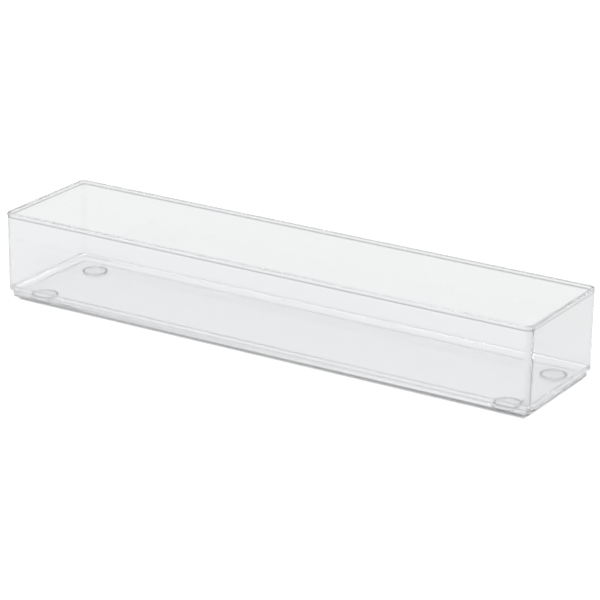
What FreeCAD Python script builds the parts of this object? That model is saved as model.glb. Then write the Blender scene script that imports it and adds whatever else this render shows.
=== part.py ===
import FreeCAD, Part
import math
import os
import Sketcher

# Clear drawer organizer tray with four soft foot pads, in millimetres.
# X runs along the tray, Y across it, Z up. The origin is the middle of the
# rectangle that the pads stand on.

DOCUMENT_NAME = "drawer_tray"
PARTS_FOLDER = "parts"
QUARTER_TURN = math.pi / 2
LEVEL_TOLERANCE = 0.01

# Driving sizes: alias, value and meaning.
SIZES = [
    ("length", 340.0, "outside length over the walls, at the rim"),
    ("width", 76.0, "outside width over the walls, at the rim"),
    ("tray_height", 51.0, "underside of the base to the top of the rim"),
    ("wall", 1.8, "wall thickness"),
    ("floor_thickness", 1.8, "thickness of the floor and of the ledge round it"),
    ("wall_lean", 0.2, "how far each wall leans out from its foot to the rim"),
    ("corner_radius", 4.0, "outside radius of the upright corners"),
    ("step_height", 4.2, "height of the narrower base below the walls"),
    ("stack_clearance", 0.3, "gap round the base when it sits inside another rim"),
    ("base_corner_radius", 2.4, "outside corner radius of the narrower base"),
    ("least_corner_radius", 1.0, "smallest upright corner radius inside the tray"),
    ("lip_height", 2.0, "height of the band round the top of the walls"),
    ("lip_proud", 0.3, "how far that band stands out from the walls"),
    ("rim_rounding", 0.5, "rounding of the two top edges of the rim"),
    ("outer_rounding", 0.5, "rounding of the outside bottom edges"),
    ("inner_rounding", 0.7, "rounding inside the tray, at the ledge and the floor"),
    ("pad_diameter", 15.0, "foot pad, across its bonded face"),
    ("pad_sole_diameter", 14.2, "foot pad, across its sole before the bevel"),
    ("pad_thickness", 2.0, "foot pad, bonded face to sole"),
    ("pad_bevel", 0.5, "foot pad, bevel round the sole"),
    ("pad_end_margin", 8.9, "end of the base to the rim of a foot pad"),
    ("pad_side_margin", 3.9, "side of the base to the rim of a foot pad"),
]


# Document and sheet

def make_document():
    """Return a new document and its sheet of driving sizes."""
    document = FreeCAD.newDocument(DOCUMENT_NAME)
    sheet = document.addObject("Spreadsheet::Sheet", "Sizes")
    for row, (alias, value, meaning) in enumerate(SIZES, start=1):
        sheet.set(f"A{row}", meaning)
        sheet.set(f"B{row}", str(value))
        sheet.setAlias(f"B{row}", alias)
    document.recompute()
    return document, sheet


# Expressions worked out from the sheet. The base is narrower than the walls by
# one wall and the stacking clearance, so that it drops into the rim below.
STEP_INSET = "(Sizes.wall + Sizes.stack_clearance)"
BASE_LENGTH = f"(Sizes.length - 2 * {STEP_INSET})"
BASE_WIDTH = f"(Sizes.width - 2 * {STEP_INSET})"
LEDGE_LEVEL = "(Sizes.step_height + Sizes.floor_thickness)"
WALL_TILT = "atan(Sizes.wall_lean / (Sizes.tray_height - Sizes.step_height))"
RIM_RADIUS = "(Sizes.corner_radius + Sizes.wall_lean)"
MOUTH_RADIUS = f"max({RIM_RADIUS} - Sizes.wall; Sizes.least_corner_radius)"
WELL_RADIUS = "max(Sizes.base_corner_radius - Sizes.wall; Sizes.least_corner_radius)"
PAD_ALONG = f"({BASE_LENGTH} / 2 - Sizes.pad_end_margin - Sizes.pad_diameter / 2)"
PAD_ACROSS = f"({BASE_WIDTH} / 2 - Sizes.pad_side_margin - Sizes.pad_diameter / 2)"

# Roundings and bevels, each held to a share of what carries it, so that two lie side by
# side on the rim and on the ledge.
RIM_ROUNDING = "min(Sizes.rim_rounding; 0.3 * Sizes.wall)"
OUTER_ROUNDING = "min(Sizes.outer_rounding; 0.3 * Sizes.wall)"
INNER_ROUNDING = "min(Sizes.inner_rounding; 0.4 * Sizes.wall)"
PAD_BEVEL = "min(Sizes.pad_bevel; 0.4 * Sizes.pad_thickness)"


# Sketch helpers

def origin_plane(body, role):
    """Return one of a body's own origin planes, such as XY_Plane."""
    for feature in body.Origin.OriginFeatures:
        if feature.Role == role:
            return feature
    raise ValueError(f"{body.Label} has no {role}")


def rounded_rectangle(body, name, level, long_side, short_side, radius):
    """Return a level sketch of a rectangle with round corners, centred on the tray.

    The level, the sides and the corner radius are expressions. The geometry
    drawn first only has to be near them: the constraints set the real sizes.
    """
    sketch = body.newObject("Sketcher::SketchObject", name)
    sketch.AttachmentSupport = (origin_plane(body, "XY_Plane"), [""])
    sketch.MapMode = "FlatFace"
    sketch.setExpression("AttachmentOffset.Base.z", level)
    half_long, half_short, round_radius = 100.0, 30.0, 2.0
    inner_long = half_long - round_radius
    inner_short = half_short - round_radius
    up = FreeCAD.Vector(0, 0, 1)

    def line(x_start, y_start, x_end, y_end):
        """Add one straight side and return its number."""
        start = FreeCAD.Vector(x_start, y_start, 0)
        end = FreeCAD.Vector(x_end, y_end, 0)
        return sketch.addGeometry(Part.LineSegment(start, end), False)

    def corner(x_centre, y_centre, quarter):
        """Add one round corner, quarter turns round from +X, and return its number."""
        centre = FreeCAD.Vector(x_centre, y_centre, 0)
        circle = Part.Circle(centre, up, round_radius)
        arc = Part.ArcOfCircle(circle, quarter * QUARTER_TURN, (quarter + 1) * QUARTER_TURN)
        return sketch.addGeometry(arc, False)

    right = line(half_long, -inner_short, half_long, inner_short)
    top_right = corner(inner_long, inner_short, 0)
    top = line(inner_long, half_short, -inner_long, half_short)
    top_left = corner(-inner_long, inner_short, 1)
    left = line(-half_long, inner_short, -half_long, -inner_short)
    bottom_left = corner(-inner_long, -inner_short, 2)
    bottom = line(-inner_long, -half_short, inner_long, -half_short)
    bottom_right = corner(inner_long, -inner_short, 3)
    loop = [right, top_right, top, top_left, left, bottom_left, bottom, bottom_right]

    constrain = sketch.addConstraint
    for first, second in zip(loop, loop[1:] + loop[:1]):
        constrain(Sketcher.Constraint("Tangent", first, 2, second, 1))
    constrain(Sketcher.Constraint("Vertical", right))
    constrain(Sketcher.Constraint("Vertical", left))
    constrain(Sketcher.Constraint("Horizontal", top))
    constrain(Sketcher.Constraint("Horizontal", bottom))
    for other in (top_left, bottom_left, bottom_right):
        constrain(Sketcher.Constraint("Equal", top_right, other))
    constrain(Sketcher.Constraint("Symmetric", top_right, 3, bottom_left, 3, -1, 1))
    bind(sketch, "long_side", Sketcher.Constraint("DistanceX", left, 1, right, 2, 200.0), long_side)
    bind(sketch, "short_side", Sketcher.Constraint("DistanceY", bottom, 1, top, 2, 60.0), short_side)
    bind(sketch, "corner", Sketcher.Constraint("Radius", top_right, round_radius), radius)
    return sketch


def bind(sketch, name, constraint, expression):
    """Add a named dimension to a sketch and tie it to an expression."""
    number = sketch.addConstraint(constraint)
    sketch.renameConstraint(number, name)
    sketch.setExpression(f"Constraints.{name}", expression)


# Feature helpers

def prism(body, kind, name, sketch, length, tilt=None):
    """Add (Pad) or cut (Pocket) the prism of a sketch, its sides tilted outward or not.

    A Pad rises from its sketch and a Pocket goes down from it.
    """
    feature = body.newObject(f"PartDesign::{kind}", name)
    feature.Profile = sketch
    feature.setExpression("Length", length)
    if tilt is not None:
        feature.setExpression("TaperAngle", tilt)
    return feature


def level_edges(shape, level, beyond=None):
    """Return the names of a shape's edges that lie flat at a level.

    beyond is (half length, half width) of a rectangle: where it is given,
    only edges with an end outside it are kept.
    """
    names = []
    for number, edge in enumerate(shape.Edges, start=1):
        box = edge.BoundBox
        if abs(box.ZMin - level) > LEVEL_TOLERANCE or abs(box.ZMax - level) > LEVEL_TOLERANCE:
            continue
        ends = [vertex.Point for vertex in edge.Vertexes]
        if beyond is not None and not any(outside(end, beyond) for end in ends):
            continue
        names.append(f"Edge{number}")
    return names


def outside(point, rectangle):
    """Return True when a point lies outside a centred rectangle seen from above."""
    half_long, half_short = rectangle
    return abs(point.x) > half_long or abs(point.y) > half_short


def soften(body, kind, name, edges, size):
    """Round (Fillet) or bevel (Chamfer) the named edges of a body's last feature."""
    if not edges:
        raise ValueError(f"{name} has no edge to soften")
    base = body.Tip
    feature = body.newObject(f"PartDesign::{kind}", name)
    feature.Base = (base, edges)
    feature.setExpression("Radius" if kind == "Fillet" else "Size", size)
    body.Document.recompute()


# Tray: one moulding with a stepped base, leaning walls and a banded rim

def make_tray(document, sheet):
    """Build the tray, with the underside of its base at the top of the pads."""
    body = document.addObject("PartDesign::Body", "tray")
    body.Label = "tray"

    base = rounded_rectangle(
        body, "base_outline", "0", BASE_LENGTH, BASE_WIDTH, "Sizes.base_corner_radius"
    )
    prism(body, "Pad", "base", base, "Sizes.step_height")

    wall_foot = rounded_rectangle(
        body,
        "wall_foot_outline",
        "Sizes.step_height",
        "Sizes.length - 2 * Sizes.wall_lean",
        "Sizes.width - 2 * Sizes.wall_lean",
        "Sizes.corner_radius",
    )
    prism(body, "Pad", "walls", wall_foot, "Sizes.tray_height - Sizes.step_height", WALL_TILT)

    lip = rounded_rectangle(
        body,
        "lip_outline",
        "Sizes.tray_height - Sizes.lip_height",
        "Sizes.length + 2 * Sizes.lip_proud",
        "Sizes.width + 2 * Sizes.lip_proud",
        f"{RIM_RADIUS} + Sizes.lip_proud",
    )
    prism(body, "Pad", "lip", lip, "Sizes.lip_height")

    mouth = rounded_rectangle(
        body,
        "mouth_outline",
        "Sizes.tray_height",
        "Sizes.length - 2 * Sizes.wall",
        "Sizes.width - 2 * Sizes.wall",
        MOUTH_RADIUS,
    )
    prism(body, "Pocket", "cavity", mouth, f"Sizes.tray_height - {LEDGE_LEVEL}", f"-{WALL_TILT}")

    well = rounded_rectangle(
        body,
        "well_outline",
        LEDGE_LEVEL,
        f"{BASE_LENGTH} - 2 * Sizes.wall",
        f"{BASE_WIDTH} - 2 * Sizes.wall",
        WELL_RADIUS,
    )
    prism(body, "Pocket", "well", well, "Sizes.step_height")
    document.recompute()

    round_tray_edges(body, sheet)
    body.setExpression("Placement.Base.z", "Sizes.pad_thickness")
    return body


def round_tray_edges(body, sheet):
    """Round the edges that the mould leaves soft."""
    rim = level_edges(body.Tip.Shape, sheet.tray_height)
    soften(body, "Fillet", "rim_edges", rim, RIM_ROUNDING)

    # The underside of the wall has two outlines: its own foot, which is
    # rounded, and the base's, which stays sharp. This rectangle runs between.
    halfway = (sheet.wall + sheet.stack_clearance + sheet.wall_lean) / 2
    between = (sheet.length / 2 - halfway, sheet.width / 2 - halfway)
    wall_foot = level_edges(body.Tip.Shape, sheet.step_height, beyond=between)
    base = level_edges(body.Tip.Shape, 0.0)
    soften(body, "Fillet", "outside_edges", wall_foot + base, OUTER_ROUNDING)

    ledge = level_edges(body.Tip.Shape, sheet.step_height + sheet.floor_thickness)
    floor = level_edges(body.Tip.Shape, sheet.floor_thickness)
    soften(body, "Fillet", "inside_edges", ledge + floor, INNER_ROUNDING)


# Foot pads: soft discs bonded to the underside near the four corners

def make_pad(document, name, along, across):
    """Build one pad; along and across are -1 or 1 and choose its corner."""
    body = document.addObject("PartDesign::Body", name)
    body.Label = name
    disc = body.newObject("PartDesign::AdditiveCone", f"{name}_disc")
    disc.setExpression("Radius1", "Sizes.pad_sole_diameter / 2")
    disc.setExpression("Radius2", "Sizes.pad_diameter / 2")
    disc.setExpression("Height", "Sizes.pad_thickness")
    document.recompute()

    edge = level_edges(body.Tip.Shape, 0.0)
    soften(body, "Chamfer", f"{name}_bevel", edge, PAD_BEVEL)
    body.setExpression("Placement.Base.x", f"{along} * {PAD_ALONG}")
    body.setExpression("Placement.Base.y", f"{across} * {PAD_ACROSS}")
    return body


def make_pads(document):
    """Build the four pads, named for the corner that each one carries."""
    pads = []
    for across, side in ((-1, "front"), (1, "rear")):
        for along, end in ((-1, "left"), (1, "right")):
            pads.append(make_pad(document, f"foot_pad_{side}_{end}", along, across))
    return pads


# Checks and files

def check(document, parts):
    """Stop with a message if any feature failed or any part has no sound solid."""
    for item in document.Objects:
        if "Invalid" in item.State or "Error" in item.State:
            raise RuntimeError(f"{item.Label} failed: {item.State}")
        if item.TypeId == "Sketcher::SketchObject" and not item.FullyConstrained:
            raise RuntimeError(f"{item.Label} is not fully constrained")
    for part in parts:
        shape = part.Shape
        if shape.isNull() or not shape.isValid() or len(shape.Solids) != 1:
            raise RuntimeError(f"{part.Label} is not one sound solid")


def write(parts):
    """Write each part to its own file, named for its label."""
    os.makedirs(PARTS_FOLDER, exist_ok=True)
    for part in parts:
        part.Shape.exportStep(f"{PARTS_FOLDER}/{part.Label}.step")
        print(part.Label, round(part.Shape.Volume, 1), "cubic mm")


def main():
    """Build, check and write the whole tray."""
    document, sheet = make_document()
    parts = [make_tray(document, sheet)] + make_pads(document)
    document.recompute()
    check(document, parts)
    write(parts)


main()
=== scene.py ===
"""Dresses a clear drawer organizer bin: one moulded tray on four soft foot pads.

Everything is in metres, in the frame of the construction model: X runs along
the bin, Y across it towards its rear long wall, and Z up out of its mouth. The
origin is the middle of the rectangle that the foot pads stand on.
"""

import logging
import math
from dataclasses import dataclass, field
from enum import Enum
from typing import Any

import bpy
from mathutils import Matrix, Vector


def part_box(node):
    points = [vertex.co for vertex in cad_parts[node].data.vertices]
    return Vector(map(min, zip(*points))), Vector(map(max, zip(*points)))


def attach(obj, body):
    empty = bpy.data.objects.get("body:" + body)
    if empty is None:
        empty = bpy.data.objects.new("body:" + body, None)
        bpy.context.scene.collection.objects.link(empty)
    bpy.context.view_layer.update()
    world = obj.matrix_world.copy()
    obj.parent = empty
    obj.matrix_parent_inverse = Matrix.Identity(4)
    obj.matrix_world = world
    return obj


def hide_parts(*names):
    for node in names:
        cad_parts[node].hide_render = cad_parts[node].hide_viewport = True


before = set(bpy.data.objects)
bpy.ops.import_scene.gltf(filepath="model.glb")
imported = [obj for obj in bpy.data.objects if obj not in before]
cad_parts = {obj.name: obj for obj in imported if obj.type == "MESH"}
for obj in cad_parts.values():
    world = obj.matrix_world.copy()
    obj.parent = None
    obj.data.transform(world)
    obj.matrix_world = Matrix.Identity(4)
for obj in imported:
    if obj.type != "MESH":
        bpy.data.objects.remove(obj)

LOG = logging.getLogger("drawer_bin")
MM = 0.001
MERGE_DISTANCE = 0.000001
QUARTER = math.pi / 2

Point = tuple[float, float, float]
Colour = tuple[float, float, float]
Socket = bpy.types.NodeSocket


# Tree building

class Weaver:
    """Adds nodes to one node tree and wires them."""

    def __init__(self, tree: bpy.types.NodeTree) -> None:
        """Empty the tree and hold it.

        Args:
            tree: The shader, world or geometry tree to fill.
        """
        self.tree = tree
        tree.nodes.clear()

    def add(self, kind: str, feeds: dict[str | int, Any] | None = None, **settings: Any) -> bpy.types.Node:
        """Add one node.

        Args:
            kind: The node's type name.
            feeds: What each input gets, by name or number: a socket or a plain value.
            settings: Properties of the node, set before its inputs are looked up.

        Returns:
            The new node.
        """
        node = self.tree.nodes.new(kind)
        for name, value in settings.items():
            setattr(node, name, value)
        for key, value in (feeds or {}).items():
            if isinstance(value, Socket):
                self.tree.links.new(value, node.inputs[key])
            else:
                node.inputs[key].default_value = value
        return node

    def math(self, operation: str, *terms: Any) -> Socket:
        """Add a Math node.

        Args:
            operation: The operation's name, such as MULTIPLY.
            terms: Sockets or numbers, in the order of the node's inputs.

        Returns:
            The node's result.
        """
        node = self.add("ShaderNodeMath", dict(enumerate(terms)), operation=operation)
        return node.outputs[0]


# Finishes

@dataclass(frozen=True)
class PaintedEdgeLine:
    """A painted shade line that the faces on one side of the wall show along an edge of the moulding, in
    place of the dark line that refraction draws there.

    Attributes:
        level: The line's height.
        reach: Half its width.
        from_x: The outer faces at the ends lie beyond this, and the inner faces within it.
        from_y: The same at the sides.
        share: How much of the painted shade it shows.
        outer: Whether it lies on the outer faces.
    """

    level: float
    reach: float
    from_x: float
    from_y: float
    share: float
    outer: bool = True


@dataclass(frozen=True)
class ClearPolystyrene:
    """The tray's finish: polished clear plastic, with painted shade along the moulded edges and round the
    upright corners.
    """

    name: str = "clear_polystyrene"
    refraction: float = 1.585
    tint: Colour = (0.972, 0.978, 0.982)
    body_colour: Colour = (0.44, 0.50, 0.49)
    density: float = 0.5
    clearness: float = 0.995
    smoothest: float = 0.0
    roughest: float = 0.004
    # Tint of the painted shade lines and corners.
    painted_line_tint: Colour = (0.10, 0.11, 0.11)
    # Painted shade lines along the moulded edges, in place of the dark lines that refraction draws there.
    edges: tuple[PaintedEdgeLine, ...] = (
        # Under the lip
        PaintedEdgeLine(level=50.8 * MM, reach=0.44 * MM, from_x=168.7 * MM, from_y=36.7 * MM, share=1.0),
        # Round the mouth
        PaintedEdgeLine(
            level=53.0 * MM, reach=0.18 * MM, from_x=168.75 * MM, from_y=36.75 * MM, share=0.9, outer=False
        ),
        # Along the stacking step
        PaintedEdgeLine(level=6.3 * MM, reach=0.5 * MM, from_x=168.4 * MM, from_y=36.4 * MM, share=1.0),
        # Round the foot of the base
        PaintedEdgeLine(level=2.6 * MM, reach=0.85 * MM, from_x=166.6 * MM, from_y=34.6 * MM, share=0.75),
    )
    corner_from: Point = (166.5 * MM, 34.5 * MM, 7.0 * MM)
    corner_full: Point = (167.4 * MM, 35.4 * MM, 7.5 * MM)
    corner_haze: float = 0.45
    # How much painted shade the round upright corners show, in place of the darkening that refraction gives
    # there.
    painted_corner_shade: float = 0.05
    handling_size: float = 60 * MM
    handled_from: float = 0.45
    handled_full: float = 0.8
    wave_length: float = 35 * MM
    wave_depth: float = 0.01 * MM

    def painted_edge_shade(self, weaver: Weaver, place: Socket) -> Socket:
        """Trace the painted shade that the faces show along the moulded edges.

        Args:
            weaver: The material's tree.
            place: The object coordinates.

        Returns:
            The share of the edges' painted shade.
        """
        split = weaver.add("ShaderNodeSeparateXYZ", {0: place})
        far_x = weaver.math("ABSOLUTE", split.outputs["X"])
        far_y = weaver.math("ABSOLUTE", split.outputs["Y"])
        shade: Any = 0.0
        for edge in self.edges:
            beyond_x = weaver.math("GREATER_THAN", far_x, edge.from_x)
            beyond_y = weaver.math("GREATER_THAN", far_y, edge.from_y)
            outside = weaver.math("MAXIMUM", beyond_x, beyond_y)
            if not edge.outer:
                outside = weaver.math("SUBTRACT", 1.0, outside)
            gap = weaver.math("ABSOLUTE", weaver.math("SUBTRACT", split.outputs["Z"], edge.level))
            line = weaver.add(
                "ShaderNodeMapRange",
                {"Value": gap, "From Min": 0.4 * edge.reach, "From Max": edge.reach,
                 "To Min": edge.share, "To Max": 0.0},
                interpolation_type="SMOOTHSTEP",
            )
            shade = weaver.math("MULTIPLY_ADD", line.outputs["Result"], outside, shade)
        return shade

    def corner_share(self, weaver: Weaver, place: Socket) -> Socket:
        """Trace the walls' round upright corners.

        Args:
            weaver: The material's tree.
            place: The object coordinates.

        Returns:
            One at the corners above the base, falling to nothing on the flat walls.
        """
        mirrored = weaver.add("ShaderNodeVectorMath", {0: place}, operation="ABSOLUTE").outputs[0]
        ramp = weaver.add(
            "ShaderNodeMapRange",
            {"Vector": mirrored, 7: self.corner_from, 8: self.corner_full,
             9: (0.0, 0.0, 0.0), 10: (1.0, 1.0, 1.0)},
            data_type="FLOAT_VECTOR",
        )
        split = weaver.add("ShaderNodeSeparateXYZ", {0: ramp.outputs["Vector"]})
        both = weaver.math("MULTIPLY", split.outputs["X"], split.outputs["Y"])
        return weaver.math("MULTIPLY", both, split.outputs["Z"])

    def material(self) -> bpy.types.Material:
        """Build the material.

        Returns:
            Glass with a faint uneven polish and a body that absorbs along its depth.
        """
        material = bpy.data.materials.new(self.name)
        material.use_nodes = True
        weaver = Weaver(material.node_tree)
        place = weaver.add("ShaderNodeTexCoord").outputs["Object"]
        handling = weaver.add(
            "ShaderNodeTexNoise",
            {"Vector": place, "Scale": 1 / self.handling_size, "Detail": 4.0, "Roughness": 0.6},
        )
        polish = weaver.add(
            "ShaderNodeMapRange",
            {"Value": handling.outputs["Fac"], "From Min": self.handled_from,
             "From Max": self.handled_full, "To Min": self.smoothest, "To Max": self.roughest},
        )
        corner = self.corner_share(weaver, place)
        rough = weaver.math("MULTIPLY_ADD", corner, self.corner_haze, polish.outputs["Result"])
        # Painted shade: dark lines along the moulded edges and a faint darkening at the round upright
        # corners, in place of what refraction draws there.
        painted_shade = weaver.math("MULTIPLY_ADD", corner, self.painted_corner_shade, self.painted_edge_shade(weaver, place))
        flow = weaver.add(
            "ShaderNodeTexNoise",
            {"Vector": place, "Scale": 1 / self.wave_length, "Detail": 1.0},
        )
        wave = weaver.add(
            "ShaderNodeBump",
            {"Height": flow.outputs["Fac"], "Distance": self.wave_depth, "Strength": 1.0},
        )
        # Mixes the painted shade into the base colour.
        skin = weaver.add(
            "ShaderNodeMix",
            {0: painted_shade, 6: (*self.tint, 1.0), 7: (*self.painted_line_tint, 1.0)},
            data_type="RGBA",
        )
        plastic = weaver.add(
            "ShaderNodeBsdfPrincipled",
            {
                "Base Color": skin.outputs[2],
                "Roughness": rough,
                "IOR": self.refraction,
                "Transmission Weight": self.clearness,
                "Normal": wave.outputs["Normal"],
            },
        )
        clear = weaver.add("ShaderNodeBsdfTransparent", {"Color": (*self.tint, 1.0)})
        path = weaver.add("ShaderNodeLightPath")
        surface = weaver.add(
            "ShaderNodeMixShader",
            {0: path.outputs["Is Shadow Ray"], 1: plastic.outputs[0], 2: clear.outputs[0]},
        )
        body = weaver.add(
            "ShaderNodeVolumeAbsorption",
            {"Color": (*self.body_colour, 1.0), "Density": self.density},
        )
        weaver.add("ShaderNodeOutputMaterial", {"Surface": surface.outputs[0], "Volume": body.outputs[0]})
        return material


@dataclass(frozen=True)
class SoftVinyl:
    """The foot pads' finish: clear soft vinyl with a satin skin and a painted shade ring round the top of
    each pad.
    """

    name: str = "soft_clear_vinyl"
    refraction: float = 1.5
    tint: Colour = (0.98, 0.98, 0.985)
    body_colour: Colour = (0.5, 0.5, 0.52)
    density: float = 20.0
    roughness: float = 0.04
    pebble_size: float = 0.8 * MM
    # Tint of the painted shade ring.
    painted_ring_tint: Colour = (0.20, 0.205, 0.21)
    rim_from: float = 6.1 * MM
    rim_full: float = 6.5 * MM
    line_from: float = 1.84 * MM
    line_full: float = 1.94 * MM
    # How far the painted shade ring turns the clear vinyl matt and dark.
    painted_ring_strength: float = 0.35
    pad_x: float = 151.5 * MM
    pad_y: float = 24.5 * MM

    def painted_ring_shade(self, weaver: Weaver, place: Socket) -> Socket:
        """Trace the painted shade ring round the top of each pad, in place of the dark arcs that refraction
        draws there.

        Args:
            weaver: The material's tree.
            place: The object coordinates.

        Returns:
            The share of the painted ring shade.
        """
        mirrored = weaver.add("ShaderNodeVectorMath", {0: place}, operation="ABSOLUTE").outputs[0]
        offset = weaver.add(
            "ShaderNodeVectorMath", {0: mirrored, 1: (self.pad_x, self.pad_y, 0.0)}, operation="SUBTRACT"
        ).outputs[0]
        level = weaver.add(
            "ShaderNodeVectorMath", {0: offset, 1: (1.0, 1.0, 0.0)}, operation="MULTIPLY"
        ).outputs[0]
        radius = weaver.add("ShaderNodeVectorMath", {0: level}, operation="LENGTH").outputs["Value"]
        side = weaver.add(
            "ShaderNodeMapRange",
            {"Value": radius, "From Min": self.rim_from, "From Max": self.rim_full},
            interpolation_type="SMOOTHSTEP",
        )
        height = weaver.add("ShaderNodeSeparateXYZ", {0: place}).outputs["Z"]
        upper = weaver.add(
            "ShaderNodeMapRange",
            {"Value": height, "From Min": self.line_from, "From Max": self.line_full},
            interpolation_type="SMOOTHSTEP",
        )
        return weaver.math("MULTIPLY", side.outputs["Result"], upper.outputs["Result"])

    def material(self) -> bpy.types.Material:
        """Build the material.

        Returns:
            Satin glass-like vinyl with a fine pebbled skin and a painted shade ring.
        """
        material = bpy.data.materials.new(self.name)
        material.use_nodes = True
        weaver = Weaver(material.node_tree)
        place = weaver.add("ShaderNodeTexCoord").outputs["Object"]
        pebbles = weaver.add(
            "ShaderNodeTexNoise", {"Vector": place, "Scale": 1 / self.pebble_size, "Detail": 2.0}
        )
        skin = weaver.add(
            "ShaderNodeMapRange",
            {"Value": pebbles.outputs["Fac"], "To Min": 0.5 * self.roughness, "To Max": 1.5 * self.roughness},
        )
        # Painted shade: a dark ring round the top of each pad, in place of the dark arcs that refraction
        # draws there.
        painted_ring = self.painted_ring_shade(weaver, place)
        colour = weaver.add(
            "ShaderNodeMix",
            {0: painted_ring, 6: (*self.tint, 1.0), 7: (*self.painted_ring_tint, 1.0)},
            data_type="RGBA",
        )
        clearness = weaver.math("SUBTRACT", 1.0, weaver.math("MULTIPLY", painted_ring, self.painted_ring_strength))
        vinyl = weaver.add(
            "ShaderNodeBsdfPrincipled",
            {
                "Base Color": colour.outputs[2],
                "Roughness": skin.outputs["Result"],
                "IOR": self.refraction,
                "Transmission Weight": clearness,
            },
        )
        clear = weaver.add("ShaderNodeBsdfTransparent", {"Color": (*self.tint, 1.0)})
        path = weaver.add("ShaderNodeLightPath")
        surface = weaver.add(
            "ShaderNodeMixShader",
            {0: path.outputs["Is Shadow Ray"], 1: vinyl.outputs[0], 2: clear.outputs[0]},
        )
        body = weaver.add(
            "ShaderNodeVolumeAbsorption",
            {"Color": (*self.body_colour, 1.0), "Density": self.density},
        )
        weaver.add("ShaderNodeOutputMaterial", {"Surface": surface.outputs[0], "Volume": body.outputs[0]})
        return material


@dataclass(frozen=True)
class StudioPaper:
    """The floor's finish: matt white paper that glows, with painted shade where the glow falls off to the
    right and a painted shadow under the base.
    """

    name: str = "studio_paper"
    darkest: Colour = (0.255, 0.255, 0.255)
    lightest: Colour = (0.265, 0.265, 0.265)
    tone_size: float = 120 * MM
    glow: float = 0.63
    # Painted shade: the glow falls to this towards the right, between the next two places.
    painted_shade_glow: float = 0.42
    painted_shade_from: float = 135 * MM
    painted_shade_to: float = 240 * MM
    lift: float = 0.42
    # Tone of the painted shadow under the base.
    painted_shadow_tone: Colour = (0.53, 0.53, 0.55)
    cover_x: float = 167.9 * MM
    cover_y: float = 35.9 * MM
    cover_from: float = 0.6 * MM
    cover_fade: float = 4.5 * MM

    def painted_shadow_mask(self, weaver: Weaver, place: Socket) -> Socket:
        """Trace the painted shadow where the base covers the paper.

        Args:
            weaver: The material's tree.
            place: The object coordinates.

        Returns:
            Nothing outside the base's outline, rising to one a little way under it.
        """
        split = weaver.add("ShaderNodeSeparateXYZ", {0: place})
        inside_x = weaver.math("SUBTRACT", self.cover_x, weaver.math("ABSOLUTE", split.outputs["X"]))
        inside_y = weaver.math("SUBTRACT", self.cover_y, weaver.math("ABSOLUTE", split.outputs["Y"]))
        inside = weaver.math("MINIMUM", inside_x, inside_y)
        return weaver.add(
            "ShaderNodeMapRange",
            {"Value": inside, "From Min": self.cover_from, "From Max": self.cover_fade},
            interpolation_type="SMOOTHSTEP",
        ).outputs["Result"]

    def material(self) -> bpy.types.Material:
        """Build the material.

        Returns:
            Matt white with a barely uneven tone and an even glow, painted shade where the glow falls off to
            the right and a painted shadow under the base, clear from beneath to show the bin's underside.
        """
        material = bpy.data.materials.new(self.name)
        material.use_nodes = True
        weaver = Weaver(material.node_tree)
        place = weaver.add("ShaderNodeTexCoord").outputs["Object"]
        fibres = weaver.add(
            "ShaderNodeTexNoise", {"Vector": place, "Scale": 1 / self.tone_size, "Detail": 3.0}
        )
        tone = weaver.add(
            "ShaderNodeMix",
            {0: fibres.outputs["Fac"], 6: (*self.darkest, 1.0), 7: (*self.lightest, 1.0)},
            data_type="RGBA",
        )
        matt = weaver.add("ShaderNodeBsdfDiffuse", {"Color": tone.outputs[2]})
        along = weaver.add("ShaderNodeSeparateXYZ", {0: place}).outputs["X"]
        # Painted shade: the glow falls off towards the right.
        glow_with_painted_shade = weaver.add(
            "ShaderNodeMapRange",
            {"Value": along, "From Min": self.painted_shade_from, "From Max": self.painted_shade_to,
             "To Min": self.glow, "To Max": self.painted_shade_glow},
            interpolation_type="SMOOTHSTEP",
        )
        glow = weaver.add(
            "ShaderNodeEmission", {"Color": (1, 1, 1, 1), "Strength": glow_with_painted_shade.outputs["Result"]}
        )
        paper = weaver.add("ShaderNodeAddShader", {0: matt.outputs[0], 1: glow.outputs[0]})
        lift = weaver.add("ShaderNodeEmission", {"Color": (1, 1, 1, 1), "Strength": self.lift})
        lifted = weaver.add("ShaderNodeAddShader", {0: paper.outputs[0], 1: lift.outputs[0]})
        # Painted shadow: a dim paper under the base, which camera rays see in place of the lifted paper.
        dim = weaver.add("ShaderNodeBsdfDiffuse", {"Color": (*self.painted_shadow_tone, 1.0)})
        direct = weaver.add(
            "ShaderNodeMixShader", {0: self.painted_shadow_mask(weaver, place), 1: lifted.outputs[0], 2: dim.outputs[0]}
        )
        path = weaver.add("ShaderNodeLightPath")
        upper = weaver.add(
            "ShaderNodeMixShader",
            {0: path.outputs["Is Camera Ray"], 1: paper.outputs[0], 2: direct.outputs[0]},
        )
        lower = weaver.add("ShaderNodeBsdfTransparent", {"Color": (1, 1, 1, 1)})
        side = weaver.add("ShaderNodeNewGeometry").outputs["Backfacing"]
        seen = weaver.add("ShaderNodeMixShader", {0: side, 1: upper.outputs[0], 2: lower.outputs[0]})
        weaver.add("ShaderNodeOutputMaterial", {"Surface": seen.outputs[0]})
        return material


# Sections

@dataclass
class SectionPoint:
    """One vertex of the section of a piece.

    Attributes:
        inset: How far inside the piece's nominal outline it lies.
        height: Its height.
        corner: The radius of the upright corner at this point.
    """

    inset: float
    height: float
    corner: float


@dataclass
class SectionEdge:
    """An edge that runs right round a piece, seen as a corner of its section.

    Attributes:
        inset: How far inside the piece's nominal outline the sharp edge would lie.
        height: The height of the sharp edge.
        corner: The radius of the upright corner there.
        rounding: The radius that softens it.
    """

    inset: float
    height: float
    corner: float
    rounding: float


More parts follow.
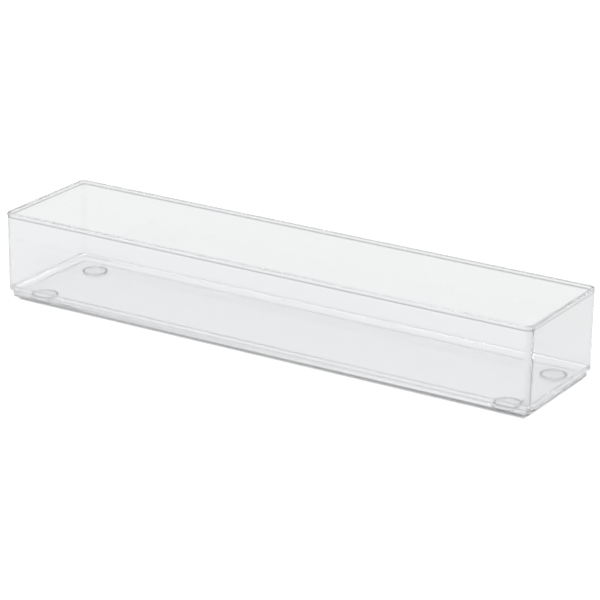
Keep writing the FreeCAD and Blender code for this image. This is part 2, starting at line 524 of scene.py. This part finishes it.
def soften_edges(edges: list[SectionEdge], steps: int, lead: float) -> list[SectionPoint]:
    """Round each edge of an open section but its first and last, which only give directions.

    Args:
        edges: The section's sharp corners, in order.
        steps: Straight steps that make one rounding.
        lead: How far along the flat beyond each rounding another vertex lies.

    Returns:
        The vertices of the rounded section.
    """
    spots_of = [Vector((edge.inset, edge.height)) for edge in edges]
    reaches = [0.0]
    for before, here, after, edge in zip(spots_of, spots_of[1:], spots_of[2:], edges[1:]):
        half_angle = (before - here).angle(after - here) / 2
        reaches.append(edge.rounding / math.tan(half_angle))
    reaches.append(0.0)
    leads = []
    for first, second, reach_out, reach_in in zip(spots_of, spots_of[1:], reaches, reaches[1:]):
        leads.append(min(lead, 0.25 * ((second - first).length - reach_out - reach_in)))
    points: list[SectionPoint] = []
    for number in range(1, len(edges) - 1):
        edge, here, reach = edges[number], spots_of[number], reaches[number]
        back = (spots_of[number - 1] - here).normalized()
        onward = (spots_of[number + 1] - here).normalized()
        half_angle = back.angle(onward) / 2
        centre = here + (back + onward).normalized() * (edge.rounding / math.sin(half_angle))
        start = here + back * reach - centre
        finish = here + onward * reach - centre
        sweep = start.angle_signed(finish)
        spots = [here + back * (reach + leads[number - 1])]
        for step in range(steps + 1):
            turned = start.copy()
            turned.rotate(Matrix.Rotation(-sweep * step / steps, 2))
            spots.append(centre + turned)
        spots.append(here + onward * (reach + leads[number]))
        for spot in spots:
            points.append(SectionPoint(spot.x, spot.y, edge.corner + edge.inset - spot.x))
    return points


# Sweeping

def plain_mesh(source: bpy.types.Object, name: str) -> bpy.types.Object:
    """Turn what an object's modifiers make into a plain mesh object, and drop the source.

    Args:
        source: The object with live modifiers.
        name: The new object's name.

    Returns:
        A new object at the origin whose mesh is the result.
    """
    bpy.context.view_layer.update()
    graph = bpy.context.evaluated_depsgraph_get()
    mesh = bpy.data.meshes.new_from_object(source.evaluated_get(graph), depsgraph=graph)
    mesh.name = name
    bpy.data.objects.remove(source)
    piece = bpy.data.objects.new(name, mesh)
    bpy.context.scene.collection.objects.link(piece)
    return piece


@dataclass
class SectionSweep:
    """Carries sections round rectangles with round corners, which may shrink to circles."""

    corner_steps: int = 24
    tree: bpy.types.NodeTree = field(init=False)

    def __post_init__(self) -> None:
        """Build the tree that all the sweeps share."""
        self.tree = self.make_tree()

    def make_tree(self) -> bpy.types.NodeTree:
        """Build the tree that carries a section round a rectangle with round corners.

        Returns:
            The geometry tree, with named inputs for its sizes.
        """
        tree = bpy.data.node_groups.new("section_round_rectangle", "GeometryNodeTree")
        face = tree.interface
        face.new_socket("Geometry", in_out="INPUT", socket_type="NodeSocketGeometry")
        for name in ("Half Length", "Half Width", "Lead"):
            face.new_socket(name, in_out="INPUT", socket_type="NodeSocketFloat")
        face.new_socket("Centre", in_out="INPUT", socket_type="NodeSocketVector")
        face.new_socket("Corner Steps", in_out="INPUT", socket_type="NodeSocketInt")
        face.new_socket("Material", in_out="INPUT", socket_type="NodeSocketMaterial")
        face.new_socket("Geometry", in_out="OUTPUT", socket_type="NodeSocketGeometry")
        weaver = Weaver(tree)
        given = weaver.add("NodeGroupInput").outputs
        section = given["Geometry"]
        rows = weaver.add("GeometryNodeAttributeDomainSize", {0: section}).outputs["Point Count"]
        per_corner = weaver.math("ADD", given["Corner Steps"], 3.0)
        around = weaver.math("MULTIPLY", per_corner, 4.0)
        index = weaver.add("GeometryNodeInputIndex").outputs[0]

        def seat(shape: Socket, row: Any, column: Any) -> Socket:
            """Move a shape's vertices to their places on the piece.

            Args:
                shape: The shape's geometry.
                row: Each vertex's number along the section.
                column: Each vertex's number round the rectangle.

            Returns:
                The seated geometry.
            """
            spot = weaver.add(
                "GeometryNodeSampleIndex",
                {0: section, "Value": weaver.add("GeometryNodeInputPosition").outputs[0], "Index": row},
                data_type="FLOAT_VECTOR",
            )
            stored = weaver.add("GeometryNodeInputNamedAttribute", {"Name": "corner_radius"})
            radius = weaver.add(
                "GeometryNodeSampleIndex", {0: section, "Value": stored.outputs[0], "Index": row}
            ).outputs[0]
            split = weaver.add("ShaderNodeSeparateXYZ", {0: spot.outputs[0]})
            passed = weaver.math("FLOOR", weaver.math("DIVIDE", column, per_corner))
            corner = weaver.math("MODULO", passed, 4.0)
            step = weaver.math("MODULO", column, per_corner)
            turned = weaver.math(
                "DIVIDE", weaver.math("SUBTRACT", step, 1.0), weaver.math("SUBTRACT", per_corner, 3.0)
            )
            share = weaver.math("MINIMUM", weaver.math("MAXIMUM", turned, 0.0), 1.0)
            bearing = weaver.math("MULTIPLY", weaver.math("ADD", corner, share), QUARTER)
            middle = weaver.math("MULTIPLY", weaver.math("ADD", corner, 0.5), QUARTER)
            past = weaver.math("COMPARE", step, weaver.math("SUBTRACT", per_corner, 1.0), 0.5)
            short = weaver.math("COMPARE", step, 0.0, 0.5)
            slide = weaver.math("MULTIPLY", weaver.math("SUBTRACT", past, short), given["Lead"])
            cosine, sine = weaver.math("COSINE", bearing), weaver.math("SINE", bearing)
            places = []
            for half, side, arc, along in (
                (given["Half Length"], "COSINE", cosine, weaver.math("MULTIPLY", sine, -1.0)),
                (given["Half Width"], "SINE", sine, cosine),
            ):
                sign = weaver.math("SIGN", weaver.math(side, middle))
                inside = weaver.math("SUBTRACT", weaver.math("SUBTRACT", half, split.outputs["X"]), radius)
                centre = weaver.math("MULTIPLY", sign, inside)
                on_arc = weaver.math("MULTIPLY_ADD", radius, arc, centre)
                places.append(weaver.math("MULTIPLY_ADD", slide, along, on_arc))
            place = weaver.add(
                "ShaderNodeCombineXYZ", {"X": places[0], "Y": places[1], "Z": split.outputs["Z"]}
            )
            moved = weaver.add(
                "ShaderNodeVectorMath", {0: place.outputs[0], 1: given["Centre"]}, operation="ADD"
            )
            return weaver.add("GeometryNodeSetPosition", {0: shape, "Position": moved.outputs[0]}).outputs[0]

        grid = weaver.add(
            "GeometryNodeMeshGrid",
            {"Size X": 1.0, "Size Y": 1.0, "Vertices X": weaver.math("ADD", around, 1.0), "Vertices Y": rows},
        ).outputs[0]
        column = weaver.math("FLOOR", weaver.math("DIVIDE", index, rows))
        skin = seat(grid, weaver.math("MODULO", index, rows), column)
        disc = weaver.add(
            "GeometryNodeMeshCircle", {"Vertices": around, "Radius": 1.0}, fill_type="NGON"
        ).outputs[0]
        underside = seat(disc, 0, index)
        upper_side = seat(disc, weaver.math("SUBTRACT", rows, 1.0), index)
        flipped = weaver.add("GeometryNodeFlipFaces", {0: underside}).outputs[0]
        whole = weaver.add("GeometryNodeJoinGeometry")
        for part in (skin, flipped, upper_side):
            tree.links.new(part, whole.inputs[0])
        merged = weaver.add("GeometryNodeMergeByDistance", {0: whole.outputs[0], "Distance": MERGE_DISTANCE})
        smooth = weaver.add("GeometryNodeSetShadeSmooth", {0: merged.outputs[0]})
        real = weaver.add("GeometryNodeRealizeInstances", {0: smooth.outputs[0]})
        dressed = weaver.add("GeometryNodeSetMaterial", {0: real.outputs[0], "Material": given["Material"]})
        weaver.add("NodeGroupOutput", {0: dressed.outputs[0]})
        return tree

    def carrier(self, name: str, points: list[SectionPoint]) -> bpy.types.Object:
        """Make the object that carries a section as a line of vertices.

        Args:
            name: The object's name.
            points: The section's vertices.

        Returns:
            An object whose vertices hold inset and height, and their upright corner's radius.
        """
        mesh = bpy.data.meshes.new(name)
        mesh.from_pydata([(point.inset, 0.0, point.height) for point in points], [], [])
        radius = mesh.attributes.new("corner_radius", "FLOAT", "POINT")
        for item, point in zip(radius.data, points):
            item.value = point.corner
        carrier = bpy.data.objects.new(name, mesh)
        bpy.context.scene.collection.objects.link(carrier)
        return carrier

    def carry(self, name: str, points: list[SectionPoint], values: dict[str, Any]) -> bpy.types.Object:
        """Sweep one section into a closed piece.

        Args:
            name: The piece's name.
            points: The section's vertices, from the underside round the outside to the upper side.
            values: The tree's other inputs, by name.

        Returns:
            The piece, with a plain mesh.
        """
        carrier = self.carrier(name + "_section", points)
        modifier = carrier.modifiers.new("carry_round", "NODES")
        modifier.node_group = self.tree
        for item in self.tree.interface.items_tree:
            if item.in_out == "INPUT" and item.name in values:
                modifier[item.identifier] = values[item.name]
            elif item.in_out == "INPUT" and item.name == "Corner Steps":
                modifier[item.identifier] = self.corner_steps
        return plain_mesh(carrier, name)


# Pieces

class Corner(Enum):
    """The four places of a foot pad: the name of its node."""

    FRONT_LEFT = "foot_pad_front_left"
    FRONT_RIGHT = "foot_pad_front_right"
    REAR_LEFT = "foot_pad_rear_left"
    REAR_RIGHT = "foot_pad_rear_right"


@dataclass
class MouldedTray:
    """The tray: leaning walls with a banded rim over a narrower stacking base."""

    sweep: SectionSweep
    node: str = "tray"
    wall: float = 1.8 * MM
    floor: float = 1.8 * MM
    lean: float = 0.2 * MM
    corner_radius: float = 4.0 * MM
    step_height: float = 4.2 * MM
    stack_clearance: float = 0.3 * MM
    base_corner_radius: float = 2.4 * MM
    least_corner_radius: float = 1.0 * MM
    lip_height: float = 2.0 * MM
    lip_proud: float = 0.3 * MM
    rim_rounding: float = 0.5 * MM
    outer_rounding: float = 0.5 * MM
    inner_rounding: float = 0.7 * MM
    ledge_rounding: float = 1.3 * MM
    well_rounding: float = 0.7 * MM
    crisp_rounding: float = 0.14 * MM
    lead: float = 0.1 * MM
    rounding_steps: int = 8
    finish: ClearPolystyrene = field(default_factory=ClearPolystyrene)

    def section(self) -> list[SectionPoint]:
        """Trace the section from the underside, out and over the rim, and down to the floor.

        Returns:
            The rounded section's vertices.
        """
        low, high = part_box(self.node)
        bottom, top = low.z, high.z
        slope = self.lean / (top - bottom - self.step_height)
        step = bottom + self.step_height
        ledge = step + self.floor
        lip_level = top - self.lip_height
        base = self.wall + self.stack_clearance
        well = base + self.wall
        rim_corner = self.corner_radius + self.lean
        mouth_corner = rim_corner - self.wall
        lip_corner = rim_corner + self.lip_proud

        def lean_at(level: float) -> float:
            """Give how far the walls at a level lie inside their place at the rim."""
            return slope * (top - level)

        under_lip = lean_at(lip_level)
        inner = self.wall + lean_at(ledge)
        edges = [
            SectionEdge(base + self.corner_radius, bottom, self.base_corner_radius, 0.0),
            SectionEdge(base, bottom, self.base_corner_radius, self.outer_rounding),
            SectionEdge(base, step, self.base_corner_radius, self.crisp_rounding),
            SectionEdge(lean_at(step), step, self.corner_radius, self.outer_rounding),
            SectionEdge(under_lip, lip_level, rim_corner - under_lip, self.crisp_rounding),
            SectionEdge(-self.lip_proud, lip_level, lip_corner, self.crisp_rounding),
            SectionEdge(-self.lip_proud, top, lip_corner, self.rim_rounding),
            SectionEdge(self.wall, top, mouth_corner, self.rim_rounding),
            SectionEdge(inner, ledge, mouth_corner - lean_at(ledge), self.ledge_rounding),
            SectionEdge(well, ledge, self.least_corner_radius, self.well_rounding),
            SectionEdge(well, bottom + self.floor, self.least_corner_radius, self.inner_rounding),
            SectionEdge(well + self.corner_radius, bottom + self.floor, self.least_corner_radius, 0.0),
        ]
        return soften_edges(edges, self.rounding_steps, self.lead)

    def build(self) -> bpy.types.Object:
        """Make the tray and put it in the place of its node.

        Returns:
            The finished piece.
        """
        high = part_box(self.node)[1]
        values = {
            "Half Length": high.x - self.lip_proud,
            "Half Width": high.y - self.lip_proud,
            "Lead": self.lead,
            "Material": self.finish.material(),
        }
        piece = self.sweep.carry("tray_moulding", self.section(), values)
        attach(piece, "root")
        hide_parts(self.node)
        return piece


@dataclass
class FootPads:
    """The four soft pads: round discs that draw in to a sole with a soft edge."""

    sweep: SectionSweep
    draw_in: float = 0.4 * MM
    sole_rounding: float = 0.55 * MM
    bond_rounding: float = 0.1 * MM
    bond_depth: float = 0.02 * MM
    lead: float = 0.1 * MM
    rounding_steps: int = 8
    finish: SoftVinyl = field(default_factory=SoftVinyl)

    def section(self, radius: float, sole: float, bond: float) -> list[SectionPoint]:
        """Trace half of a pad's section, from its sole out and up to its bonded face.

        Args:
            radius: The radius of the bonded face.
            sole: The sole's height.
            bond: The bonded face's height.

        Returns:
            The rounded section's vertices.
        """
        half = radius / 2
        edges = [
            SectionEdge(half, sole, half, 0.0),
            SectionEdge(self.draw_in, sole, radius - self.draw_in, self.sole_rounding),
            SectionEdge(0.0, bond, radius, self.bond_rounding),
            SectionEdge(half, bond, half, 0.0),
        ]
        return soften_edges(edges, self.rounding_steps, self.lead)

    def build(self, corner: Corner, material: bpy.types.Material) -> bpy.types.Object:
        """Make one pad in the place of its node.

        Args:
            corner: Which pad.
            material: The pads' finish.

        Returns:
            The finished piece, bonded to the floor by a depth that stands for the adhesive.
        """
        low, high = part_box(corner.value)
        radius = (high.x - low.x) / 2
        values = {
            "Half Length": radius,
            "Half Width": radius,
            "Lead": 0.0,
            "Centre": ((low.x + high.x) / 2, (low.y + high.y) / 2, 0.0),
            "Material": material,
        }
        points = self.section(radius, low.z, high.z + self.bond_depth)
        piece = self.sweep.carry(corner.value + "_vinyl", points, values)
        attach(piece, "root")
        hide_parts(corner.value)
        return piece


# Studio

@dataclass(frozen=True)
class SoftBox:
    """One square soft light.

    Attributes:
        name: The light's name.
        place: Where it hangs, facing the bin.
        side: The length of its sides.
        power: Its power in watts.
    """

    name: str
    place: Point
    side: float
    power: float


@dataclass
class Studio:
    """The pale floor, the soft lights and the camera."""

    floor_half: float = 12.0
    floor_drop: float = 0.05 * MM
    sky: float = 0.955
    backdrop: tuple[tuple[float, float], ...] = (
        (0.0, 0.15), (15.0, 0.75), (30.0, 1.08), (50.0, 1.4), (70.0, 1.0), (90.0, 0.92),
    )
    rear_box: SoftBox = SoftBox("soft_box_rear", (-0.745, 1.202, 1.685), 2.0, 6.0)
    bounces: int = 256
    filter_width: float = 2.2
    camera_azimuth: float = math.radians(31.795)
    camera_elevation: float = math.radians(20.008)
    camera_roll: float = math.radians(0.645)
    camera_distance: float = 1.60986
    aim_right: float = 5.517 * MM
    aim_up: float = 19.244 * MM
    aim_level: float = 2.0 * MM
    lens: float = 172.476
    paper: StudioPaper = field(default_factory=StudioPaper)

    def lay_floor(self) -> None:
        """Lay the floor just under the soles."""
        half, level = self.floor_half, -self.floor_drop
        mesh = bpy.data.meshes.new("studio_floor")
        mesh.from_pydata(
            [(-half, -half, level), (half, -half, level), (half, half, level), (-half, half, level)],
            [],
            [(0, 1, 2, 3)],
        )
        mesh.materials.append(self.paper.material())
        floor = bpy.data.objects.new("studio_floor", mesh)
        bpy.context.scene.collection.objects.link(floor)

    def hang(self, box: SoftBox) -> None:
        """Hang one soft box so that it faces the bin.

        Args:
            box: The light.
        """
        lamp = bpy.data.lights.new(box.name, "AREA")
        lamp.shape = "SQUARE"
        lamp.size = box.side
        lamp.energy = box.power
        light = bpy.data.objects.new(box.name, lamp)
        light.location = box.place
        light.rotation_euler = (-Vector(box.place)).to_track_quat("-Z", "Y").to_euler()
        bpy.context.scene.collection.objects.link(light)

    def surround(self) -> None:
        """Set the pale room: even, but dim low down beyond the bin and bright above that."""
        world = bpy.data.worlds.new("studio_surroundings")
        bpy.context.scene.world = world
        world.use_nodes = True
        weaver = Weaver(world.node_tree)
        heading = weaver.add("ShaderNodeTexCoord").outputs["Generated"]
        rise = weaver.add("ShaderNodeSeparateXYZ", {0: heading}).outputs["Z"]
        height = weaver.math("DIVIDE", weaver.math("ARCSINE", rise), QUARTER)
        level = weaver.add("ShaderNodeVectorMath", {0: heading, 1: (1.0, 1.0, 0.0)}, operation="MULTIPLY")
        bearing = weaver.add("ShaderNodeVectorMath", {0: level.outputs[0]}, operation="NORMALIZE")
        away = (-math.sin(self.camera_azimuth), math.cos(self.camera_azimuth), 0.0)
        facing = weaver.add(
            "ShaderNodeVectorMath", {0: bearing.outputs[0], 1: away}, operation="DOT_PRODUCT"
        ).outputs["Value"]
        beyond = weaver.math("POWER", weaver.math("MAXIMUM", facing, 0.0), 2.0)
        ramp = weaver.add("ShaderNodeValToRGB", {0: height})
        stops = ramp.color_ramp.elements
        for number, (angle, tone) in enumerate(self.backdrop):
            stop = stops[number] if number < 2 else stops.new(1.0)
            stop.position = angle / 90
            stop.color = (tone, tone, tone, 1.0)
        tone = weaver.add(
            "ShaderNodeMix",
            {"Factor": beyond, "A": self.sky, "B": ramp.outputs["Color"]},
        ).outputs["Result"]
        path = weaver.add("ShaderNodeLightPath")
        around = weaver.add("ShaderNodeBackground", {"Color": (1, 1, 1, 1), "Strength": tone})
        seen = weaver.add("ShaderNodeBackground", {"Color": (1, 1, 1, 1), "Strength": 1.0})
        mixed = weaver.add(
            "ShaderNodeMixShader",
            {0: path.outputs["Is Camera Ray"], 1: around.outputs[0], 2: seen.outputs[0]},
        )
        weaver.add("ShaderNodeOutputWorld", {"Surface": mixed.outputs[0]})

    def place_camera(self) -> None:
        """Put the camera at the photograph's view."""
        azimuth, elevation, roll = self.camera_azimuth, self.camera_elevation, self.camera_roll
        back = Vector((
            math.sin(azimuth) * math.cos(elevation),
            -math.cos(azimuth) * math.cos(elevation),
            math.sin(elevation),
        ))
        level = Vector((math.cos(azimuth), math.sin(azimuth), 0.0))
        upright = back.cross(level)
        right = math.cos(roll) * level + math.sin(roll) * upright
        up = -math.sin(roll) * level + math.cos(roll) * upright
        eye = self.aim_right * right + self.aim_up * up + self.camera_distance * back
        eye.z += self.aim_level
        data = bpy.data.cameras.new("photo_view")
        data.sensor_width = 36.0
        data.lens = self.lens
        camera = bpy.data.objects.new("photo_view", data)
        turn = Matrix((right, up, back)).transposed().to_4x4()
        camera.matrix_world = Matrix.Translation(eye) @ turn
        bpy.context.scene.collection.objects.link(camera)
        bpy.context.scene.camera = camera

    def set_rendering(self) -> None:
        """Set how light is followed through the clear pieces, and the plain view."""
        scene = bpy.context.scene
        scene.view_settings.view_transform = "Standard"
        cycles = scene.cycles
        cycles.max_bounces = self.bounces
        cycles.transmission_bounces = self.bounces
        cycles.glossy_bounces = self.bounces
        cycles.transparent_max_bounces = self.bounces
        cycles.filter_width = self.filter_width
        cycles.use_denoising = True
        cycles.denoising_input_passes = "RGB"

    def build(self) -> None:
        """Make the whole studio."""
        self.lay_floor()
        self.surround()
        self.hang(self.rear_box)
        self.place_camera()
        self.set_rendering()


def report(piece: bpy.types.Object) -> None:
    """Log a finished piece's name and face count."""
    LOG.info("%s: %d faces", piece.name, len(piece.data.polygons))


def main() -> None:
    """Build every piece and the studio, and log each piece's face count."""
    logging.basicConfig(level=logging.INFO, format="%(message)s")
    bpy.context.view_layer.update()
    sweep = SectionSweep()
    report(MouldedTray(sweep).build())
    pads = FootPads(sweep)
    vinyl = pads.finish.material()
    for corner in Corner:
        report(pads.build(corner, vinyl))
    Studio().build()


if __name__ == "__main__":
    main()
